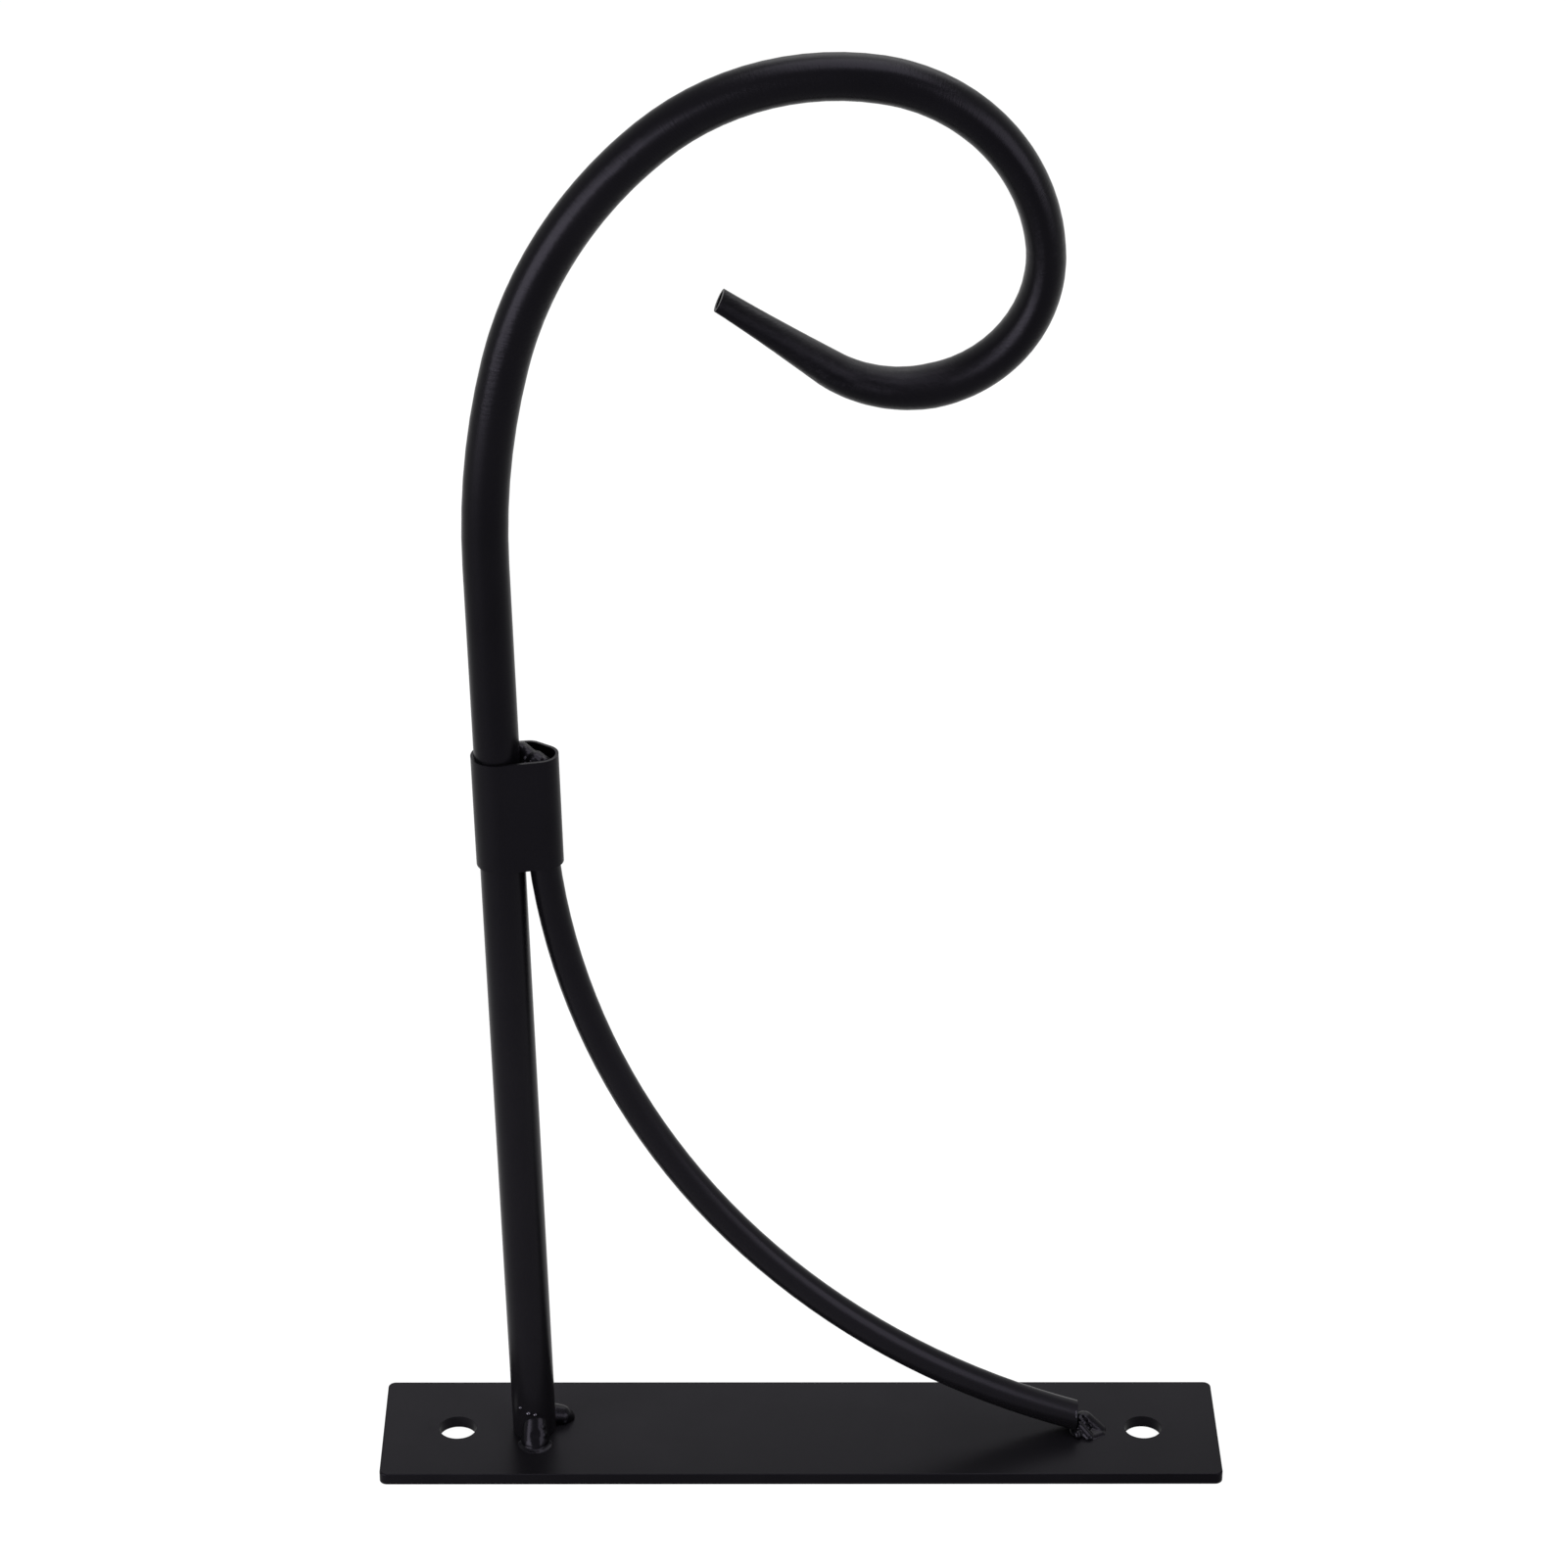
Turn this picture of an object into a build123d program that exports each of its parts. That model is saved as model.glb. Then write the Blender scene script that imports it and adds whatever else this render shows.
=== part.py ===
from build123d import *
import math
import os

# A wall bracket for a hanging plant, lying on the back face of its plate.
# Origin: centre of the plate's back face. +Z points away from the wall.
# +X runs along the plate, from the hook tube's end to the brace's foot.
# All lengths are in millimetres and all angles in degrees.

# Wall plate: flat bar with a screw hole near each end
plate_length = 200.0
plate_width = 38.0
plate_thickness = 3.0
plate_corner_radius = 1.8
plate_edge_radius = 0.4
screw_hole_diameter = 9.0
screw_hole_inset = 17.75

# Hook tube: a straight leg, then arcs of falling radius, then a tapered tail;
# diameters include the paint, and insets are from the plate's ends
hook_diameter = 10.3
hook_wall = 1.0
hook_foot_inset = 36.2
hook_lean = 1.6
leg_length = 229.4
shoulder_radius = 175.4
shoulder_angle = 15.65
rise_radius = 97.3
rise_angle = 35.55
crown_radius = 60.6
crown_angle = 48.95
fall_radius = 41.5
fall_angle = 76.1
curl_radius = 29.7
curl_angle = 129.0
curl_open_share = 0.65
tail_length = 27.6

# How much each bend squeezes the tube in its own plane, and the share of
# that squeeze by which the tube grows across the plane
crown_squeeze = 0.2
curl_squeeze = 1.8
curl_open_squeeze = 0.8
squeeze_spread = 0.95

# The swaged tail: depth is in the plane of the bends, breadth across it; the
# pinch at the tip turns its flat section round the tube's axis
tail_depth = 7.8
tail_breadth = 10.6
tip_depth = 3.2
tip_breadth = 6.9
tip_turn = 24.0
tip_mouth_depth = 1.6
tip_mouth_breadth = 5.3

# Brace tube: one arc from beside the leg, just over the collar's middle, to the plate
brace_diameter = 7.1
brace_wall = 0.8
brace_foot_inset = 33.9
brace_gap = 0.1
brace_touch_rise = 0.7
brace_setback = 4.5
brace_cut_tilt = 5.0

# Collar: a strip of sheet wrapped round both tubes, bulged at the back over the
# weld, with its seam behind the leg; heights are along the leg from the plate's face
collar_height = 27.2
collar_centre = 169.1
collar_wall = 0.7
collar_slip = 0.05
collar_room = 0.2
collar_bulge_radius = 2.9
collar_bulge_x = 6.9
collar_bulge_y = 2.9
collar_seam = 0.3

# Weld beads: drops of metal that run into each other
front_drop = 3.0
front_spread = 1.6
front_climb = 5.0
front_reach = 3.3
side_drop = 2.9
brace_drop = 2.7
top_drop = 2.6

hook_radius = hook_diameter / 2
brace_radius = brace_diameter / 2
collar_top = collar_centre + collar_height / 2
brace_touch = collar_centre + brace_touch_rise
hook_foot_x = hook_foot_inset - plate_length / 2
brace_foot_x = plate_length / 2 - brace_foot_inset
hole_x = plate_length / 2 - screw_hole_inset
lean = math.radians(hook_lean)
leg_direction = Vector(-math.sin(lean), 0, math.cos(lean))
leg_side = Vector(math.cos(lean), 0, math.sin(lean))
hook_foot = Vector(hook_foot_x, 0, plate_thickness)


def above_plate(part):
    """The share of a part that stands on the plate's front face."""
    return split(part, bisect_by=Plane.XY.offset(plate_thickness), keep=Keep.TOP)


def wall_plate():
    outline = RectangleRounded(plate_length, plate_width, plate_corner_radius)
    bar = extrude(outline, plate_thickness)
    rim = bar.faces().sort_by(Axis.Z)[-1].edges() + bar.faces().sort_by(Axis.Z)[0].edges()
    bar = fillet(rim, plate_edge_radius)
    for side in (-1, 1):
        bore = Cylinder(screw_hole_diameter / 2, 3 * plate_thickness)
        bar -= Pos(side * hole_x, 0, 0) * bore
    return bar


def hook_path():
    """The hook tube's centre line as tangent edges, from inside the plate to the tip."""
    direction = Vector(leg_direction.X, leg_direction.Z)
    foot = Vector(hook_foot.X, hook_foot.Z)
    edges = [Line(foot - direction * hook_radius, foot + direction * leg_length)]
    for radius, angle in (
        (shoulder_radius, shoulder_angle),
        (rise_radius, rise_angle),
        (crown_radius, crown_angle),
        (fall_radius, fall_angle),
        (curl_radius, curl_angle * curl_open_share),
        (curl_radius, curl_angle * (1 - curl_open_share)),
    ):
        edges.append(JernArc(edges[-1] @ 1, edges[-1] % 1, radius, -angle))
    edges.append(Line(edges[-1] @ 1, (edges[-1] @ 1) + (edges[-1] % 1) * tail_length))
    return [Plane.XZ * edge for edge in edges]


def oval(edge, share, breadth, depth, turn=0):
    """An oval section square to a path edge, its breadth across the path's plane or turned."""
    square = Plane(origin=edge @ share, x_dir=(0, 1, 0), z_dir=edge % share)
    if breadth == depth:
        return square * Circle(depth / 2)
    return square * Rot(0, 0, -turn) * Ellipse(breadth / 2, depth / 2)


def hook_skin(inset, tip):
    """The hook tube's outer skin, or its bore: the outer sections set in by the wall."""
    squeezes = (0, 0, 0, crown_squeeze, crown_squeeze, curl_squeeze, curl_open_squeeze)
    stations = []
    for squeeze in squeezes:
        breadth = hook_diameter + squeeze_spread * squeeze - 2 * inset
        stations.append((breadth, hook_diameter - squeeze - 2 * inset))
    stations.append((tail_breadth - 2 * inset, tail_depth - 2 * inset))
    stations.append((*tip, tip_turn))
    skin = Part()
    for edge, start, end in zip(hook_path(), stations, stations[1:]):
        if start == end:
            skin += sweep(oval(edge, 0, *start), path=edge)
        else:
            sections = [oval(edge, 0, *start), oval(edge, 1, *end)]
            skin += sweep(sections, path=edge, multisection=True)
    return skin


def hook_tube():
    outside = hook_skin(0, (tip_breadth, tip_depth))
    bore = hook_skin(hook_wall, (tip_mouth_breadth, tip_mouth_depth))
    return above_plate(outside - bore)


def brace_arc():
    """Centre and radius of the one arc that the brace's centre line follows."""
    touch = hook_foot + leg_direction * brace_touch
    touch += leg_side * (hook_radius + brace_gap + brace_radius)
    chord = Vector(brace_foot_x, 0, plate_thickness + brace_radius) - touch
    radius = chord.dot(chord) / (2 * chord.dot(leg_side))
    return touch + leg_side * radius, radius


def brace_offset(height):
    """How far the brace's centre line lies beside the leg's at a height along the leg."""
    radius = brace_arc()[1]
    bow = radius - math.sqrt(radius**2 - (height - brace_touch) ** 2)
    return hook_radius + brace_gap + brace_radius + bow


def brace_skin(diameter):
    """The brace as a solid rod of the given diameter, cut off at its foot."""
    centre, radius = brace_arc()
    rise = collar_top - brace_setback - brace_touch
    start = 180 + hook_lean - math.degrees(rise / radius)
    foot = 270 + math.degrees(math.asin((brace_foot_x - centre.X) / radius))
    past_foot = math.degrees(brace_diameter / radius)
    path = Plane.XZ * CenterArc((centre.X, centre.Z), radius, start, foot + past_foot - start)
    rod = sweep([oval(path, 0, diameter, diameter)], path=path)
    tilt = math.radians(brace_cut_tilt)
    cut = Plane(
        origin=(brace_foot_x, 0, plate_thickness + brace_radius),
        x_dir=(0, 1, 0),
        z_dir=(math.cos(tilt), 0, -math.sin(tilt)),
    )
    return above_plate(split(rod, bisect_by=cut, keep=Keep.BOTTOM))


def brace_tube():
    return brace_skin(brace_diameter) - brace_skin(brace_diameter - 2 * brace_wall)


def leg_plane(height):
    """The plane square to the leg at a height along it, with X towards the brace."""
    return Plane(origin=hook_foot + leg_direction * height, x_dir=leg_side, z_dir=leg_direction)


def collar_outline(inset):
    """The strip's outline round both tubes; inset 0 is its outside."""
    grow = collar_wall - inset
    leg = Circle(hook_radius + collar_slip + grow)
    nose = Pos(brace_offset(collar_centre - collar_height / 2), 0) * Circle(
        brace_radius + collar_room + grow
    )
    bulge = Pos(collar_bulge_x, collar_bulge_y) * Circle(collar_bulge_radius + grow)
    return make_hull([leg.edge(), nose.edge(), bulge.edge()])


def collar_band():
    sheet = collar_outline(0) - collar_outline(collar_wall)
    sheet -= Pos(0, hook_diameter) * Rectangle(collar_seam, 2 * hook_diameter)
    return extrude(leg_plane(collar_top - collar_height) * sheet, collar_height)


def bead(place, drops):
    """Drops of weld metal, each x, y, z and radius from a place, run into one bead."""
    metal = Part()
    for x, y, z, radius in drops:
        metal += place * Pos(x, y, z) * Rot(0, 0, 90) * Sphere(radius)
    return metal


def plate_bead(drops):
    """A bead on the plate's face at the leg's foot, cut to fit the leg."""
    metal = bead(Pos(*hook_foot), drops)
    return above_plate(metal) - hook_skin(0, (tip_breadth, tip_depth))


def hook_front_weld():
    """Two runs of drops side by side down the front of the leg, spreading onto the plate."""
    drops = []
    for side, size, shares in ((-1, 1.0, (0, 0.5, 1)), (1, 0.94, (0.15, 0.6, 1.1))):
        for share in shares:
            out = hook_radius + front_reach * share
            up = front_climb * (1 - share)
            drops.append((side * front_spread, -out, up, size * front_drop))
    return plate_bead(drops)


def hook_side_weld():
    near = (hook_radius + side_drop / 2, side_drop * 0.75, side_drop * 0.9, side_drop)
    far = (hook_radius + side_drop * 1.2, side_drop * 0.65, side_drop * 0.25, side_drop * 0.8)
    return plate_bead([near, far])


def brace_foot_weld():
    place = Pos(brace_foot_x, 0, plate_thickness)
    r = brace_drop
    drops = (
        (0.35 * r, 0.2 * r, 1.15 * r, r),
        (1.5 * r, -0.6 * r, 0.25 * r, 0.95 * r),
        (0.9 * r, -1.25 * r, 0.2 * r, 0.85 * r),
        (0, -1.35 * r, 0.1 * r, 0.6 * r),
        (0.9 * r, 1.1 * r, 0.3 * r, 0.8 * r),
    )
    return above_plate(bead(place, drops)) - brace_skin(brace_diameter)


def brace_top_weld():
    """A bead in the collar's mouth that joins the leg, the brace's end and the collar."""
    beside = brace_offset(collar_top)
    r = top_drop
    drops = (
        (beside - 0.4 * r, 0.5 * r, -0.95 * r, r),
        (beside + 0.5 * r, -0.15 * r, -1.15 * r, r),
        (beside - 1.1 * r, 1.1 * r, -0.8 * r, 0.8 * r),
        (beside + 0.4 * r, 0.3 * r, -2 * r, 1.15 * r),
    )
    metal = bead(leg_plane(collar_top).location, drops)
    metal -= brace_skin(brace_diameter)
    metal -= hook_skin(0, (tip_breadth, tip_depth))
    return metal - collar_band()


NODES = {
    "wall_plate": wall_plate,
    "hook_tube": hook_tube,
    "brace_tube": brace_tube,
    "collar_band": collar_band,
    "hook_front_weld": hook_front_weld,
    "hook_side_weld": hook_side_weld,
    "brace_foot_weld": brace_foot_weld,
    "brace_top_weld": brace_top_weld,
}

if __name__ == "__main__":
    os.makedirs("parts", exist_ok=True)
    for name, make in NODES.items():
        export_step(make(), f"parts/{name}.step")
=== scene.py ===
"""Looks of a wall bracket for a hanging plant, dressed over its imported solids.

The bracket lies on the back face of its plate. Lengths in the code are in
millimetres until a mesh is finished, which turns them into metres.
"""

import logging
import math
from dataclasses import dataclass
from enum import Enum

import bmesh
import bpy
from mathutils import Matrix, Vector


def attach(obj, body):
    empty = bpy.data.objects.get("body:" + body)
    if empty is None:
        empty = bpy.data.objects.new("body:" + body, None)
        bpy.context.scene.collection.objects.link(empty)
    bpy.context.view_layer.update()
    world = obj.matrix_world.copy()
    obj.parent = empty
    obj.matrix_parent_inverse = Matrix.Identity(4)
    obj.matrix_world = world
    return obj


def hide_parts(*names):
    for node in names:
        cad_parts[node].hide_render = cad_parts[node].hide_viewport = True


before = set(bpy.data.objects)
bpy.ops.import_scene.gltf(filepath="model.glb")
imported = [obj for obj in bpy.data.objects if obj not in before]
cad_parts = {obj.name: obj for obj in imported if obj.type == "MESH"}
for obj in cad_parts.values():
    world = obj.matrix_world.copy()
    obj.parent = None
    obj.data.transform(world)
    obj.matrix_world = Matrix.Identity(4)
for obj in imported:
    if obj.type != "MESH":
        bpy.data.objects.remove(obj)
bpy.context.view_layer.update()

log = logging.getLogger("bracket")

# Lengths: a millimetre in metres, the plate's face and the brace's cut end in millimetres
MM = 0.001
PLATE_FACE = 3.0
BRACE_END_X = 65.9
BRACE_AXIS_Z = 6.55
BRACE_SKIN = 3.57

# Drops of metal: the fineness of their facets, and their spacing as a share of their radius
DROP_FINENESS = 3
DROP_SPACING = 0.25

# Colours: plain white, the tint of the paint's sheen, and lint with the share that shows
WHITE = (1.0, 1.0, 1.0, 1.0)
SHEEN_TINT = (0.85, 0.79, 1.0, 1.0)
LINT_COLOUR = (0.2, 0.2, 0.2, 1.0)
LINT_SHARE = 0.55

# Wear: the scale of its noise, and the noise's values where it begins and is full
WEAR_SCALE = 23.0
WEAR_START = 0.35
WEAR_FULL = 0.7

# The bends' middle and the height where the bending marks begin, in metres
BEND_X = 0.012
BEND_Z = 0.285
BEND_LOW = 0.24

# The point that the lamps face, in metres
LAMP_AIM = (0.0, 0.0, 0.17)


class Node(Enum):
    """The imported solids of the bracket."""

    PLATE = "wall_plate"
    HOOK = "hook_tube"
    BRACE = "brace_tube"
    COLLAR = "collar_band"
    FRONT_WELD = "hook_front_weld"
    SIDE_WELD = "hook_side_weld"
    BRACE_WELD = "brace_foot_weld"
    TOP_WELD = "brace_top_weld"


class Slot(Enum):
    """The record's material slots."""

    PLATE = "plate_paint"
    TUBE = "tube_paint"
    COLLAR = "collar_paint"
    WELD = "weld_paint"


class Graph:
    """Adds nodes to one shader tree and links them."""

    # Places of the colour sockets on a Mix node
    first_colour = 6
    second_colour = 7
    mixed_colour = 2

    def __init__(self, tree: bpy.types.NodeTree) -> None:
        """Take over a tree and empty it."""
        self.tree = tree
        self.tree.nodes.clear()

    def add(self, kind: str, **inputs: object) -> bpy.types.Node:
        """Add a node and set or link its inputs.

        Args:
            kind: The node's type, such as ShaderNodeBump.
            **inputs: Values or output sockets, by the input's name with
                spaces written as underscores.

        Returns:
            The new node.
        """
        node = self.tree.nodes.new(kind)
        for name, value in inputs.items():
            self.feed(node.inputs[name.replace("_", " ")], value)
        return node

    def feed(self, socket: bpy.types.NodeSocket, value: object) -> None:
        """Link an output to an input, or set the input to a plain value.

        Args:
            socket: The input.
            value: An output's socket, or a plain value.
        """
        if isinstance(value, bpy.types.NodeSocket):
            self.tree.links.new(value, socket)
        else:
            socket.default_value = value

    def math(self, operation: str, first: object, second: object = 0.0) -> bpy.types.NodeSocket:
        """Combine two numbers.

        Args:
            operation: How they are combined, such as ADD.
            first: The first number or its socket.
            second: The second number or its socket.

        Returns:
            The result's socket.
        """
        node = self.tree.nodes.new("ShaderNodeMath")
        node.operation = operation
        self.feed(node.inputs[0], first)
        self.feed(node.inputs[1], second)
        return node.outputs[0]

    def span(
        self, value: object, low: float, high: float, to_low: float, to_high: float
    ) -> bpy.types.NodeSocket:
        """Map a number from one range to another, held at its ends.

        Args:
            value: The number's socket.
            low: Start of the range it is read in.
            high: End of that range.
            to_low: What low becomes.
            to_high: What high becomes.

        Returns:
            The mapped number's socket.
        """
        node = self.tree.nodes.new("ShaderNodeMapRange")
        self.feed(node.inputs["Value"], value)
        labels = ("From Min", "From Max", "To Min", "To Max")
        for label, number in zip(labels, (low, high, to_low, to_high)):
            node.inputs[label].default_value = number
        return node.outputs["Result"]

    def blend(self, share: object, first: object, second: object) -> bpy.types.NodeSocket:
        """Mix two colours.

        Args:
            share: How much of the second colour shows, or its socket.
            first: The first colour or its socket.
            second: The second colour or its socket.

        Returns:
            The mixed colour's socket.
        """
        node = self.tree.nodes.new("ShaderNodeMix")
        node.data_type = "RGBA"
        self.feed(node.inputs["Factor"], share)
        self.feed(node.inputs[self.first_colour], first)
        self.feed(node.inputs[self.second_colour], second)
        return node.outputs[self.mixed_colour]

    def join(self, share: object, first: object, second: object) -> bpy.types.NodeSocket:
        """Mix two shaders.

        Args:
            share: How much of the second shader shows, or its socket.
            first: The first shader's socket.
            second: The second shader's socket.

        Returns:
            The mixed shader's socket.
        """
        node = self.tree.nodes.new("ShaderNodeMixShader")
        for socket, value in zip(node.inputs, (share, first, second)):
            self.feed(socket, value)
        return node.outputs["Shader"]

    def noise(
        self, vector: object, scale: float, detail: float = 2.0, rough: float = 0.5
    ) -> bpy.types.NodeSocket:
        """Add a noise texture over a vector and return its value's socket."""
        node = self.add(
            "ShaderNodeTexNoise", Vector=vector, Scale=scale, Detail=detail, Roughness=rough
        )
        return node.outputs["Fac"]


class EffectGroup:
    """A shared effect as a shader node group, made once."""

    name = "effect"
    numbers: tuple[tuple[str, float], ...] = ()
    results: tuple[str, ...] = ()

    @classmethod
    def tree(cls) -> bpy.types.NodeTree:
        """Find the group, and make it the first time.

        Returns:
            The group's tree.
        """
        found = bpy.data.node_groups.get(cls.name)
        if found:
            return found
        made = bpy.data.node_groups.new(cls.name, "ShaderNodeTree")
        made.interface.new_socket("Vector", in_out="INPUT", socket_type="NodeSocketVector")
        for label, value in cls.numbers:
            socket = made.interface.new_socket(label, in_out="INPUT", socket_type="NodeSocketFloat")
            socket.default_value = value
        for label in cls.results:
            made.interface.new_socket(label, in_out="OUTPUT", socket_type="NodeSocketFloat")
        graph = Graph(made)
        cls.fill(graph, graph.add("NodeGroupInput"), graph.add("NodeGroupOutput"))
        return made

    @classmethod
    def fill(cls, graph: Graph, given: bpy.types.Node, result: bpy.types.Node) -> None:
        """Build the effect between the group's inputs and outputs.

        Args:
            graph: The group's graph.
            given: The node of the group's inputs.
            result: The node of the group's outputs.
        """
        raise NotImplementedError

    @classmethod
    def place(cls, graph: Graph, vector: object, **numbers: float) -> bpy.types.Node:
        """Put the group into a material.

        Args:
            graph: The material's graph.
            vector: The socket of the coordinates that it reads.
            **numbers: Values for its inputs, by name.

        Returns:
            The group's node.
        """
        node = graph.tree.nodes.new("ShaderNodeGroup")
        node.node_tree = cls.tree()
        graph.feed(node.inputs["Vector"], vector)
        for label, value in numbers.items():
            node.inputs[label].default_value = value
        return node


class PaintSkin(EffectGroup):
    """The fine pebbled skin of sprayed paint and its cloudy sheen."""

    name = "paint skin"
    numbers = (("Pebble", 1.0), ("Cloud", 1.0))
    results = ("Height", "Sheen")
    fine_scale = 2600.0
    fine_share = 0.4
    coarse_scale = 620.0
    cloud_scale = 42.0
    cloud_middle = 0.5

    @classmethod
    def fill(cls, graph: Graph, given: bpy.types.Node, result: bpy.types.Node) -> None:
        """Mix a fine and a coarser pebble for height, and a slow cloud for sheen.

        Args:
            graph: The group's graph.
            given: The node of the group's inputs.
            result: The node of the group's outputs.
        """
        vector = given.outputs["Vector"]
        fine = graph.noise(vector, cls.fine_scale, detail=3.0, rough=0.6)
        coarse = graph.noise(vector, cls.coarse_scale)
        height = graph.math("ADD", graph.math("MULTIPLY", fine, cls.fine_share), coarse)
        graph.feed(result.inputs["Height"], graph.math("MULTIPLY", height, given.outputs["Pebble"]))
        slow = graph.noise(vector, cls.cloud_scale, detail=4.0, rough=0.6)
        cloud = graph.math("SUBTRACT", slow, cls.cloud_middle)
        graph.feed(result.inputs["Sheen"], graph.math("MULTIPLY", cloud, given.outputs["Cloud"]))


class Lint(EffectGroup):
    """Sparse pale specks that settle on paint."""

    name = "lint"
    numbers = (("Share", 0.05),)
    results = ("Mask",)
    cell_scale = 170.0
    speck_core = 0.02
    speck_rim = 0.055

    @classmethod
    def fill(cls, graph: Graph, given: bpy.types.Node, result: bpy.types.Node) -> None:
        """Keep the middles of a few cells of a cell texture.

        Args:
            graph: The group's graph.
            given: The node of the group's inputs.
            result: The node of the group's outputs.
        """
        vector = given.outputs["Vector"]
        cells = graph.add("ShaderNodeTexVoronoi", Vector=vector, Scale=cls.cell_scale)
        near = graph.span(cells.outputs["Distance"], cls.speck_core, cls.speck_rim, 1.0, 0.0)
        pick = graph.add("ShaderNodeSeparateColor", Color=cells.outputs["Color"])
        chosen = graph.math("LESS_THAN", pick.outputs["Red"], given.outputs["Share"])
        graph.feed(result.inputs["Mask"], graph.math("MULTIPLY", near, chosen))


class BendMarks(EffectGroup):
    """Faint marks across a bent tube, where the bending tool pressed it."""

    name = "bend marks"
    numbers = (("Centre X", 0.0), ("Centre Z", 0.0), ("Low", 0.0), ("Strength", 1.0))
    results = ("Height",)
    stretch_y = 90.0
    stretch_turn = 26.0
    line_scale = 5.0
    fade_in = 0.04

    @classmethod
    def fill(cls, graph: Graph, given: bpy.types.Node, result: bpy.types.Node) -> None:
        """Stretch a noise across the tube, along rays from the bend's centre.

        Args:
            graph: The group's graph.
            given: The node of the group's inputs.
            result: The node of the group's outputs.
        """
        parts = graph.add("ShaderNodeSeparateXYZ", Vector=given.outputs["Vector"])
        across = graph.math("SUBTRACT", parts.outputs["X"], given.outputs["Centre X"])
        up = graph.math("SUBTRACT", parts.outputs["Z"], given.outputs["Centre Z"])
        turn = graph.math("ARCTAN2", up, across)
        slow_y = graph.math("MULTIPLY", parts.outputs["Y"], cls.stretch_y)
        fast_turn = graph.math("MULTIPLY", turn, cls.stretch_turn)
        ray = graph.add("ShaderNodeCombineXYZ", X=fast_turn, Y=slow_y)
        lines = graph.noise(ray.outputs["Vector"], cls.line_scale, detail=3.0, rough=0.7)
        above = graph.math("SUBTRACT", parts.outputs["Z"], given.outputs["Low"])
        shown = graph.span(above, 0.0, cls.fade_in, 0.0, 1.0)
        ridges = graph.math("MULTIPLY", lines, shown)
        height = graph.math("MULTIPLY", ridges, given.outputs["Strength"])
        graph.feed(result.inputs["Height"], height)


class PaintedLight(EffectGroup):
    """Painted light: a share of a lighter colour that grows along a direction, in patches."""

    name = "painted_light"
    numbers = (("Along X", 0.0), ("Along Y", 0.0), ("Along Z", 0.0), ("Start", 0.0), ("End", 1.0))
    results = ("Mask",)
    patch_scale = 60.0
    patch_low = 0.8
    patch_high = 1.2

    @classmethod
    def fill(cls, graph: Graph, given: bpy.types.Node, result: bpy.types.Node) -> None:
        """Measure along the direction, and make the share patchy.

        Args:
            graph: The group's graph.
            given: The node of the group's inputs.
            result: The node of the group's outputs.
        """
        parts = graph.add("ShaderNodeSeparateXYZ", Vector=given.outputs["Vector"])
        along = graph.math("MULTIPLY", parts.outputs["X"], given.outputs["Along X"])
        for axis in ("Y", "Z"):
            step = graph.math("MULTIPLY", parts.outputs[axis], given.outputs[f"Along {axis}"])
            along = graph.math("ADD", along, step)
        gone = graph.math("SUBTRACT", along, given.outputs["Start"])
        whole = graph.math("SUBTRACT", given.outputs["End"], given.outputs["Start"])
        share = graph.math("DIVIDE", gone, whole)
        share = graph.math("MINIMUM", graph.math("MAXIMUM", share, 0.0), 1.0)
        patches = graph.noise(given.outputs["Vector"], cls.patch_scale, detail=3.0, rough=0.6)
        patchy = graph.span(patches, 0.3, 0.7, cls.patch_low, cls.patch_high)
        graph.feed(result.inputs["Mask"], graph.math("MULTIPLY", share, patchy))


class Dent(EffectGroup):
    """A shallow round dent in a flat face, or a swelling where its depth is negative."""

    name = "dent"
    numbers = (("Centre X", 0.0), ("Centre Y", 0.0), ("Radius", 0.001), ("Depth", 0.0001))
    results = ("Height",)

    @classmethod
    def fill(cls, graph: Graph, given: bpy.types.Node, result: bpy.types.Node) -> None:
        """Lower the face smoothly round the dent's middle.

        Args:
            graph: The group's graph.
            given: The node of the group's inputs.
            result: The node of the group's outputs.
        """
        parts = graph.add("ShaderNodeSeparateXYZ", Vector=given.outputs["Vector"])
        across = graph.math("SUBTRACT", parts.outputs["X"], given.outputs["Centre X"])
        along = graph.math("SUBTRACT", parts.outputs["Y"], given.outputs["Centre Y"])
        far = graph.math("ADD", graph.math("POWER", across, 2.0), graph.math("POWER", along, 2.0))
        reach = graph.math("POWER", given.outputs["Radius"], 2.0)
        share = graph.math("SUBTRACT", 1.0, graph.math("DIVIDE", far, reach))
        bowl = graph.math("POWER", graph.math("MAXIMUM", share, 0.0), 2.0)
        sunk = graph.math("MULTIPLY", bowl, given.outputs["Depth"])
        graph.feed(result.inputs["Height"], graph.math("MULTIPLY", sunk, -1.0))


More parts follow.
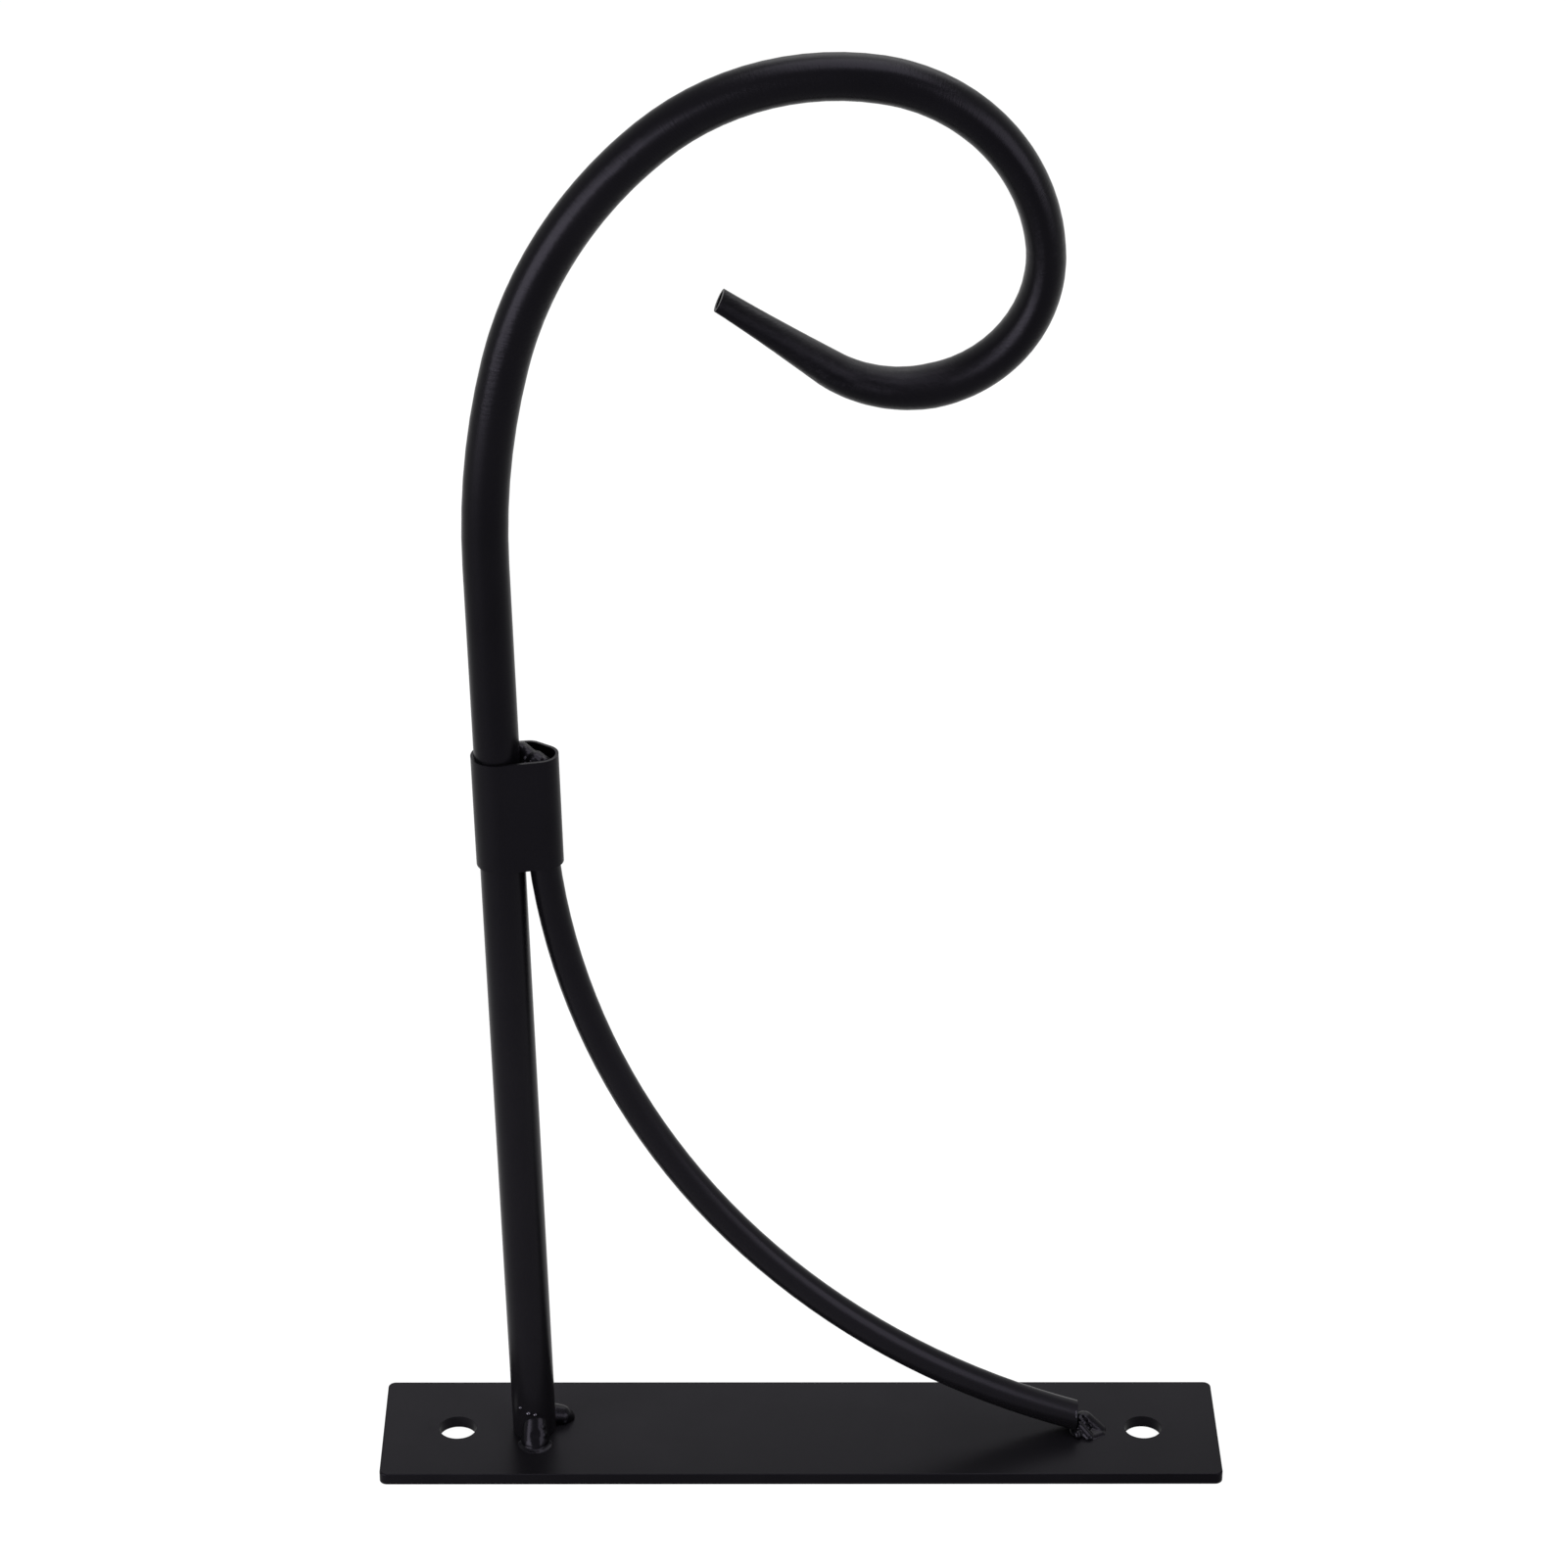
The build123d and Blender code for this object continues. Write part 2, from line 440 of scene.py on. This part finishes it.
@dataclass(frozen=True)
class SatinPaint:
    """Black satin paint on steel.

    Args:
        name: The material's name.
        colour: The paint's colour.
        worn: The colour where it is rubbed or has dust on it.
        roughness: Middle roughness.
        specular: Specular level, constant over the surface.
        pebble: Height of the skin's pebbles in millimetres.
        cloud: How much the sheen varies.
        lint: Share of cells that hold a speck of lint.
        marks: Height of the marks across the bends in millimetres.
        painted_light: The painted light's direction as x, y and z shares, and where it
            starts and is full along it, in metres; None for no painted light.
        painted_light_colour: The colour under full painted light, a lighter tone that
            stands in for light the surface catches there.
        dent: A dent's x, y, radius and depth in millimetres, or None.
    """

    name: str
    colour: tuple[float, float, float] = (0.0007, 0.00066, 0.0009)
    worn: tuple[float, float, float] = (0.0014, 0.0013, 0.0017)
    roughness: float = 0.30
    specular: float = 0.059
    pebble: float = 0.006
    cloud: float = 0.12
    lint: float = 0.006
    marks: float = 0.0
    painted_light: tuple[float, float, float, float, float] | None = None
    painted_light_colour: tuple[float, float, float] = (0.0027, 0.0025, 0.0031)
    dent: tuple[float, float, float, float] | None = None

    def build(self) -> bpy.types.Material:
        """Make the material.

        Returns:
            The finished material.
        """
        material = bpy.data.materials.new(self.name)
        material.use_nodes = True
        graph = Graph(material.node_tree)
        place = graph.add("ShaderNodeTexCoord").outputs["Object"]
        skin = PaintSkin.place(graph, place, Pebble=self.pebble * MM, Cloud=self.cloud)
        lint = Lint.place(graph, place, Share=self.lint).outputs["Mask"]
        rubbed = graph.noise(place, WEAR_SCALE, detail=3.0, rough=0.55)
        wear = graph.span(rubbed, WEAR_START, WEAR_FULL, 0.0, 1.0)
        paint = graph.blend(wear, (*self.colour, 1.0), (*self.worn, 1.0))
        # Painted light: a lighter colour is blended in along a direction, in place of light that
        # the surface catches there
        if self.painted_light:
            labels = ("Along X", "Along Y", "Along Z", "Start", "End")
            painted_light = PaintedLight.place(graph, place, **dict(zip(labels, self.painted_light)))
            paint = graph.blend(painted_light.outputs["Mask"], paint, (*self.painted_light_colour, 1.0))
        speckled = graph.blend(graph.math("MULTIPLY", lint, LINT_SHARE), paint, LINT_COLOUR)
        height = skin.outputs["Height"]
        if self.marks:
            labels = ("Centre X", "Centre Z", "Low", "Strength")
            sizes = (BEND_X, BEND_Z, BEND_LOW, self.marks * MM)
            marks = BendMarks.place(graph, place, **dict(zip(labels, sizes)))
            height = graph.math("ADD", height, marks.outputs["Height"])
        if self.dent:
            labels = ("Centre X", "Centre Y", "Radius", "Depth")
            sizes = [size * MM for size in self.dent]
            dent = Dent.place(graph, place, **dict(zip(labels, sizes)))
            height = graph.math("ADD", height, dent.outputs["Height"])
        bump = graph.add("ShaderNodeBump", Height=height, Strength=1.0, Distance=1.0)
        rough = graph.math("ADD", self.roughness, skin.outputs["Sheen"])
        shader = graph.add("ShaderNodeBsdfPrincipled", Base_Color=speckled, Roughness=rough)
        shader.inputs["Specular IOR Level"].default_value = self.specular
        shader.inputs["Specular Tint"].default_value = SHEEN_TINT
        graph.feed(shader.inputs["Normal"], bump.outputs["Normal"])
        graph.add("ShaderNodeOutputMaterial", Surface=shader.outputs["BSDF"])
        return material


@dataclass(frozen=True)
class Run:
    """A stroke of weld metal between two points, in millimetres.

    Args:
        start: Centre of its first drop.
        end: Centre of its last drop.
        radius: Radius of its first drop.
        tail: Radius of its last drop.
        flat: Height of each drop as a share of its width.
    """

    start: tuple[float, float, float]
    end: tuple[float, float, float]
    radius: float
    tail: float
    flat: float = 1.0

    def lay(self, mesh: bmesh.types.BMesh) -> None:
        """Add the stroke's drops to a mesh.

        Args:
            mesh: The bead's bmesh, in millimetres.
        """
        first, last = Vector(self.start), Vector(self.end)
        spacing = DROP_SPACING * min(self.radius, self.tail)
        steps = max(1, math.ceil((last - first).length / spacing))
        for step in range(steps + 1):
            share = step / steps
            centre = Matrix.Translation(first.lerp(last, share))
            radius = self.radius + (self.tail - self.radius) * share
            shape = centre @ Matrix.Diagonal((1, 1, self.flat, 1))
            bmesh.ops.create_icosphere(
                mesh, subdivisions=DROP_FINENESS, radius=radius, matrix=shape
            )


@dataclass(frozen=True)
class Push:
    """A small swelling or pit on a bead, in millimetres.

    Args:
        place: Its middle, near the bead's surface.
        radius: How far it reaches.
        height: How far it stands out, or how deep it lies when negative.
    """

    place: tuple[float, float, float]
    radius: float
    height: float

    def press(self, mesh: bmesh.types.BMesh) -> None:
        """Move vertices along their normals.

        Args:
            mesh: The bead's bmesh, in metres.
        """
        middle, reach = Vector(self.place) * MM, self.radius * MM
        moves = []
        for vert in mesh.verts:
            share = (vert.co - middle).length / reach
            if share < 1.0:
                moves.append((vert, vert.normal * self.height * MM * (1.0 - share**2) ** 2))
        for vert, move in moves:
            vert.co += move


def finish_piece(
    mesh: bmesh.types.BMesh, name: str, material: bpy.types.Material
) -> bpy.types.Object:
    """Turn a bmesh in millimetres into an object in metres at the origin.

    Args:
        mesh: The finished bmesh, which is freed.
        name: The object's name.
        material: Its material.

    Returns:
        The new object, linked into the scene.
    """
    bmesh.ops.scale(mesh, vec=(MM, MM, MM), verts=mesh.verts)
    data = bpy.data.meshes.new(name)
    mesh.to_mesh(data)
    mesh.free()
    data.materials.append(material)
    for face in data.polygons:
        face.use_smooth = True
    made = bpy.data.objects.new(name, data)
    bpy.context.scene.collection.objects.link(made)
    return made


def settle(piece: bpy.types.Object) -> None:
    """Apply a piece's modifiers to its mesh.

    Args:
        piece: The object, which is left without modifiers.
    """
    seen = piece.evaluated_get(bpy.context.evaluated_depsgraph_get())
    baked = bpy.data.meshes.new_from_object(seen)
    piece.modifiers.clear()
    piece.data = baked


@dataclass(frozen=True)
class WeldBead:
    """Strokes of weld metal that melt into one bead.

    Args:
        node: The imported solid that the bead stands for.
        runs: The strokes.
        pushes: Small swellings and pits.
        melt: How often the merged bead is smoothed.
        floor: Height at which the bead is cut flat, or None.
        grain: Size of the cells that the strokes are merged in, in millimetres.
        pull: How far each smoothing pulls, up to 1.
    """

    node: Node
    runs: tuple[Run, ...]
    pushes: tuple[Push, ...] = ()
    melt: int = 14
    floor: float | None = PLATE_FACE
    grain: float = 0.14
    pull: float = 0.6

    def build(self, material: bpy.types.Material) -> bpy.types.Object:
        """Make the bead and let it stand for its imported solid.

        Args:
            material: Its paint.

        Returns:
            The bead's object.
        """
        mesh = bmesh.new()
        for run in self.runs:
            run.lay(mesh)
        piece = finish_piece(mesh, f"{self.node.value}_bead", material)
        merge = piece.modifiers.new("merge", "REMESH")
        merge.mode = "VOXEL"
        merge.voxel_size = self.grain * MM
        melt = piece.modifiers.new("melt", "SMOOTH")
        melt.factor = self.pull
        melt.iterations = self.melt
        settle(piece)
        self.shape(piece)
        piece.data.materials.clear()
        piece.data.materials.append(material)
        for face in piece.data.polygons:
            face.use_smooth = True
        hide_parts(self.node.value)
        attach(piece, "root")
        return piece

    def shape(self, piece: bpy.types.Object) -> None:
        """Press the bead's details in, and cut it flat on the plate.

        Args:
            piece: The merged bead, whose mesh is changed.
        """
        mesh = bmesh.new()
        mesh.from_mesh(piece.data)
        mesh.normal_update()
        for push in self.pushes:
            push.press(mesh)
        if self.floor is not None:
            bmesh.ops.bisect_plane(
                mesh,
                geom=mesh.verts[:] + mesh.edges[:] + mesh.faces[:],
                plane_co=(0, 0, self.floor * MM),
                plane_no=(0, 0, 1),
                clear_inner=True,
            )
            rims = [edge for edge in mesh.edges if edge.is_boundary]
            bmesh.ops.edgenet_fill(mesh, edges=rims)
        bmesh.ops.recalc_face_normals(mesh, faces=mesh.faces)
        mesh.to_mesh(piece.data)
        mesh.free()


@dataclass(frozen=True)
class Spatter:
    """Pinhead beads of metal that stuck to the steel beside a weld.

    Args:
        name: The piece's name.
        beads: Middle and radius of each bead, in millimetres.
    """

    name: str
    beads: tuple[tuple[float, float, float, float], ...]

    def build(self, material: bpy.types.Material) -> bpy.types.Object:
        """Make the beads as one piece.

        Args:
            material: Their paint.

        Returns:
            The piece's object.
        """
        mesh = bmesh.new()
        for x, y, z, radius in self.beads:
            place = Matrix.Translation((x, y, z))
            bmesh.ops.create_icosphere(
                mesh, subdivisions=DROP_FINENESS, radius=radius, matrix=place
            )
        piece = finish_piece(mesh, self.name, material)
        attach(piece, "root")
        return piece


@dataclass
class Welds:
    """The four weld beads and their spatter.

    Args:
        finish: The beads' paint.
        shiny: The glossier paint of the spatter and the burr.
    """

    finish: SatinPaint = SatinPaint(
        "weld paint", roughness=0.25, specular=0.068, pebble=0.01, cloud=0.1, lint=0.0
    )
    shiny: SatinPaint = SatinPaint(
        "spatter paint", roughness=0.16, specular=0.5, pebble=0.0, cloud=0.0, lint=0.0
    )

    def front(self) -> WeldBead:
        """Lay out the bead on the leg's front: one steep ridge that spreads onto the plate.

        Returns:
            The bead.
        """
        runs = (
            Run((-63.5, -3.2, 7.3), (-63.5, -4.8, 4.5), 2.9, 3.4),
            Run((-63.5, -4.8, 4.5), (-63.5, -5.9, 3.0), 3.4, 3.5),
            Run((-63.6, -6.8, 2.3), (-63.1, -6.9, 2.3), 4.6, 4.5, 0.27),
            Run((-67.0, -6.4, 2.9), (-66.9, -6.7, 2.9), 0.7, 0.6),
            Run((-60.1, -6.0, 2.9), (-60.2, -6.3, 2.9), 0.7, 0.6),
        )
        pushes = (
            Push((-61.3, -6.0, 7.6), 1.0, 0.18),
            Push((-61.1, -6.9, 5.8), 1.0, 0.18),
            Push((-63.3, -7.6, 6.5), 1.5, -0.2),
            Push((-63.3, -8.4, 4.8), 1.3, -0.12),
            Push((-62.3, -9.2, 3.5), 1.7, 0.15),
        )
        return WeldBead(Node.FRONT_WELD, runs, pushes, melt=24)

    def side(self) -> WeldBead:
        """Lay out the glob on the leg's side towards the brace.

        Returns:
            The bead.
        """
        runs = (
            Run((-59.6, 3.4, 4.3), (-57.7, 3.6, 4.0), 3.1, 2.8, 0.92),
            Run((-57.7, 3.6, 4.0), (-56.6, 4.0, 3.2), 2.8, 2.3, 0.92),
            Run((-56.7, 1.4, 3.7), (-56.7, 1.3, 3.5), 0.6, 0.55),
        )
        return WeldBead(Node.SIDE_WELD, runs, melt=12)

    def brace_foot(self) -> WeldBead:
        """Lay out the mass at the brace's cut end: ridges that run down to the plate.

        Returns:
            The bead.
        """
        runs = (
            Run((68.1, 1.6, 4.6), (71.4, -0.6, 2.9), 2.3, 2.0, 0.6),
            Run((66.8, -1.8, 4.4), (69.0, -4.3, 3.0), 1.3, 1.3),
            Run((66.3, -4.1, 4.0), (66.4, -4.4, 3.6), 0.95, 0.9),
            Run((69.6, -3.6, 2.6), (71.7, -2.4, 2.6), 1.9, 1.6, 0.6),
            Run((66.3, 3.0, 4.0), (69.2, 3.2, 3.0), 1.7, 1.6, 0.7),
            Run((68.0, -1.2, 2.7), (70.2, -1.0, 2.4), 3.6, 3.2, 0.4),
        )
        pushes = (
            Push((67.5, 0.4, 5.9), 0.9, -0.3),
            Push((68.2, -0.5, 5.3), 1.1, -0.4),
            Push((69.0, -1.7, 4.4), 1.2, -0.4),
            Push((66.9, -1.9, 5.8), 0.8, 0.25),
        )
        return WeldBead(Node.BRACE_WELD, runs, pushes, melt=14)

    def collar_mouth(self) -> WeldBead:
        """Lay out the mass in the collar's mouth, from behind the leg to the collar's front.

        Returns:
            The bead.
        """
        runs = (
            Run((-63.6, 3.0, 185.0), (-62.0, 1.5, 184.3), 2.1, 2.2),
            Run((-60.3, 0.5, 183.6), (-58.3, -0.8, 182.6), 2.6, 2.7),
            Run((-62.0, 1.0, 183.0), (-59.0, 0.4, 179.5), 2.4, 2.6),
        )
        pushes = (
            Push((-59.6, 1.3, 186.0), 0.9, -0.45),
            Push((-61.1, -1.1, 184.6), 1.1, 0.3),
            Push((-62.4, 1.6, 186.3), 0.8, 0.15),
            Push((-58.1, -1.5, 185.1), 1.1, 0.3),
        )
        return WeldBead(Node.TOP_WELD, runs, pushes, melt=7, floor=None)

    def spatter(self) -> Spatter:
        """Return the beads of metal along the upper rim of the front bead."""
        return Spatter(
            "front_weld_spatter",
            ((-66.9, -4.3, 11.8, 0.45), (-65.0, -5.1, 10.7, 0.62), (-63.4, -5.2, 10.4, 0.52)),
        )

    def burr(self) -> Spatter:
        """Lay out the fine bright burr round the front of the brace's cut end.

        Returns:
            The burr, as small beads in a row.
        """
        first_turn, turn_step, count, radius = 34.0, 2.6, 13, 0.14
        beads = []
        for step in range(count):
            turn = math.radians(first_turn + turn_step * step)
            y = -BRACE_SKIN * math.sin(turn)
            z = BRACE_AXIS_Z + BRACE_SKIN * math.cos(turn)
            beads.append((BRACE_END_X, y, z, radius))
        return Spatter("brace_end_burr", tuple(beads))

    def build(self) -> None:
        """Make every bead, the spatter and the burr."""
        paint = self.finish.build()
        for bead in (self.front(), self.side(), self.brace_foot(), self.collar_mouth()):
            piece = bead.build(paint)
            log.info("bead %s: %d faces", piece.name, len(piece.data.polygons))
        gloss = self.shiny.build()
        for spots in (self.spatter(), self.burr()):
            piece = spots.build(gloss)
            log.info("spots %s: %d faces", piece.name, len(piece.data.polygons))


@dataclass
class Steelwork:
    """The plate, the tubes and the collar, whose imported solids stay.

    Args:
        plate: The plate's paint.
        tube: The paint of both tubes.
        collar: The collar's paint.
    """

    plate: SatinPaint = SatinPaint(
        "plate paint",
        roughness=0.34,
        specular=0.035,
        # Painted sheen: the plate is painted lighter towards its back edge and its left end
        painted_light=(-0.13, 1.0, 0.0, -0.03, 0.03),
        painted_light_colour=(0.0048, 0.0045, 0.0055),
        dent=(-88.0, 0.4, 1.9, -0.05),
    )
    # Painted light from the floor: the tubes are painted lighter towards their feet, near the plate
    tube: SatinPaint = SatinPaint("tube paint", marks=0.06, painted_light=(0.0, 0.0, -1.0, -0.17, -0.1))
    collar: SatinPaint = SatinPaint("collar paint", roughness=0.34)

    def dress(self) -> None:
        """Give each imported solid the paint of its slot."""
        paints = {
            Slot.TUBE: self.tube.build(),
            Slot.PLATE: self.plate.build(),
            Slot.COLLAR: self.collar.build(),
        }
        slots = {
            Node.PLATE: Slot.PLATE,
            Node.HOOK: Slot.TUBE,
            Node.BRACE: Slot.TUBE,
            Node.COLLAR: Slot.COLLAR,
        }
        for node, slot in slots.items():
            paint = paints[slot]
            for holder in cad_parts[node.value].material_slots:
                holder.material = paint
            log.info("paint %s on %s", paint.name, node.value)


@dataclass(frozen=True)
class Softbox:
    """A large soft lamp aimed at the bracket.

    Args:
        name: The lamp's name.
        position: Where it hangs, in metres.
        width: Its width in metres.
        height: Its height in metres.
        power: Its power in watts.
    """

    name: str
    position: tuple[float, float, float]
    width: float
    height: float
    power: float

    def build(self) -> None:
        """Hang the lamp."""
        lamp = bpy.data.lights.new(self.name, "AREA")
        lamp.shape = "RECTANGLE"
        lamp.size = self.width
        lamp.size_y = self.height
        lamp.energy = self.power
        made = bpy.data.objects.new(self.name, lamp)
        bpy.context.scene.collection.objects.link(made)
        place = Vector(self.position)
        made.location = place
        made.rotation_euler = (Vector(LAMP_AIM) - place).to_track_quat("-Z", "Y").to_euler()


@dataclass
class Studio:
    """The floor, the surrounding light, the lamps and the camera.

    Args:
        floor_half: Half the floor's width in metres.
        floor_drop: How far the floor lies under the plate's back face, in metres.
        floor_tone: How much light the floor throws back at the bracket.
        shadow_share: How much of the floor's tone is left to shadows.
        ambient: Strength of the light from all sides.
        camera_at: The camera's place in metres.
        camera_lens: Its focal length in millimetres.
        camera_sensor: Its sensor's width in millimetres.
        camera_range: The nearest and farthest distance that it shows, in metres.
        camera_pitch: How far it looks down, in degrees.
        camera_yaw: How far it looks to the right, in degrees.
        camera_roll: How far it is turned round its own axis, in degrees.
        lamps: The softboxes.
    """

    floor_half: float = 20.0
    floor_drop: float = 0.0001
    floor_tone: float = 0.8
    shadow_share: float = 0.08
    ambient: float = 0.1
    camera_at: tuple[float, float, float] = (-0.01572, -0.96999, 0.69711)
    camera_lens: float = 113.066
    camera_sensor: float = 36.0
    camera_range: tuple[float, float] = (0.01, 100.0)
    camera_pitch: float = 28.142
    camera_yaw: float = 0.639
    camera_roll: float = 0.338
    lamps: tuple[Softbox, ...] = (
        Softbox("top softbox", (0.12, 0.04, 1.5), 1.1, 1.0, 25.0),
        Softbox("back softbox", (0.2, 1.1, 1.25), 1.2, 1.0, 9.0),
        Softbox("left softbox", (-0.99, -0.83, 0.36), 1.05, 0.8, 33.0),
        Softbox("right softbox", (1.036, -0.598, 0.7), 1.0, 0.8, 16.0),
    )

    def build(self) -> None:
        """Set up the whole studio."""
        self.build_floor()
        self.build_surround()
        for lamp in self.lamps:
            lamp.build()
        self.build_camera()
        bpy.context.scene.view_settings.view_transform = "Standard"
        log.info("studio with %d lamps", len(self.lamps))

    def seen(self, graph: Graph) -> bpy.types.NodeSocket:
        """Mark the rays that show the background, directly or through the object's surface.

        Args:
            graph: The graph of the background's material.

        Returns:
            The socket of 1 for such rays and 0 for all others.
        """
        path = graph.add("ShaderNodeLightPath").outputs
        shown = graph.math("MAXIMUM", path["Is Camera Ray"], path["Is Glossy Ray"])
        return graph.math("MAXIMUM", shown, path["Is Transmission Ray"])

    def build_floor(self) -> None:
        """Lay a white floor that keeps a soft shadow."""
        material = bpy.data.materials.new("floor white")
        material.use_nodes = True
        graph = Graph(material.node_tree)
        tone = (self.floor_tone, self.floor_tone, self.floor_tone, 1.0)
        plain = graph.add("ShaderNodeBsdfDiffuse", Color=tone).outputs[0]
        glow = graph.add("ShaderNodeEmission", Color=WHITE, Strength=1.0).outputs[0]
        shade = graph.add("ShaderNodeBsdfDiffuse", Color=WHITE).outputs[0]
        white = graph.join(self.shadow_share, glow, shade)
        surface = graph.join(self.seen(graph), plain, white)
        graph.add("ShaderNodeOutputMaterial", Surface=surface)
        mesh = bmesh.new()
        level = Matrix.Translation((0, 0, -self.floor_drop / MM))
        half = self.floor_half / MM
        bmesh.ops.create_grid(mesh, x_segments=1, y_segments=1, size=half, matrix=level)
        finish_piece(mesh, "floor", material)

    def build_surround(self) -> None:
        """Light the object dimly from all sides, and show white behind it."""
        world = bpy.data.worlds.new("surround")
        world.use_nodes = True
        graph = Graph(world.node_tree)
        strength = graph.span(self.seen(graph), 0.0, 1.0, self.ambient, 1.0)
        light = graph.add("ShaderNodeBackground", Color=WHITE, Strength=strength)
        graph.add("ShaderNodeOutputWorld", Surface=light.outputs[0])
        bpy.context.scene.world = world

    def build_camera(self) -> None:
        """Stand the camera at the photograph's viewing angle."""
        pitch = math.radians(self.camera_pitch)
        yaw = math.radians(self.camera_yaw)
        roll = math.radians(self.camera_roll)
        ahead = Vector(
            (math.sin(yaw) * math.cos(pitch), math.cos(yaw) * math.cos(pitch), -math.sin(pitch))
        )
        level = Vector((math.cos(yaw), -math.sin(yaw), 0.0))
        upward = level.cross(ahead)
        right = level * math.cos(roll) + upward * math.sin(roll)
        top = upward * math.cos(roll) - level * math.sin(roll)
        lens = bpy.data.cameras.new("camera")
        lens.lens = self.camera_lens
        lens.sensor_width = self.camera_sensor
        lens.clip_start, lens.clip_end = self.camera_range
        made = bpy.data.objects.new("camera", lens)
        bpy.context.scene.collection.objects.link(made)
        turn = Matrix((right, top, -ahead)).transposed()
        made.matrix_world = Matrix.Translation(self.camera_at) @ turn.to_4x4()
        bpy.context.scene.camera = made


def main() -> None:
    """Build the studio and dress the bracket."""
    logging.basicConfig(level=logging.INFO)
    Studio().build()
    Steelwork().dress()
    Welds().build()


if __name__ == "__main__":
    main()
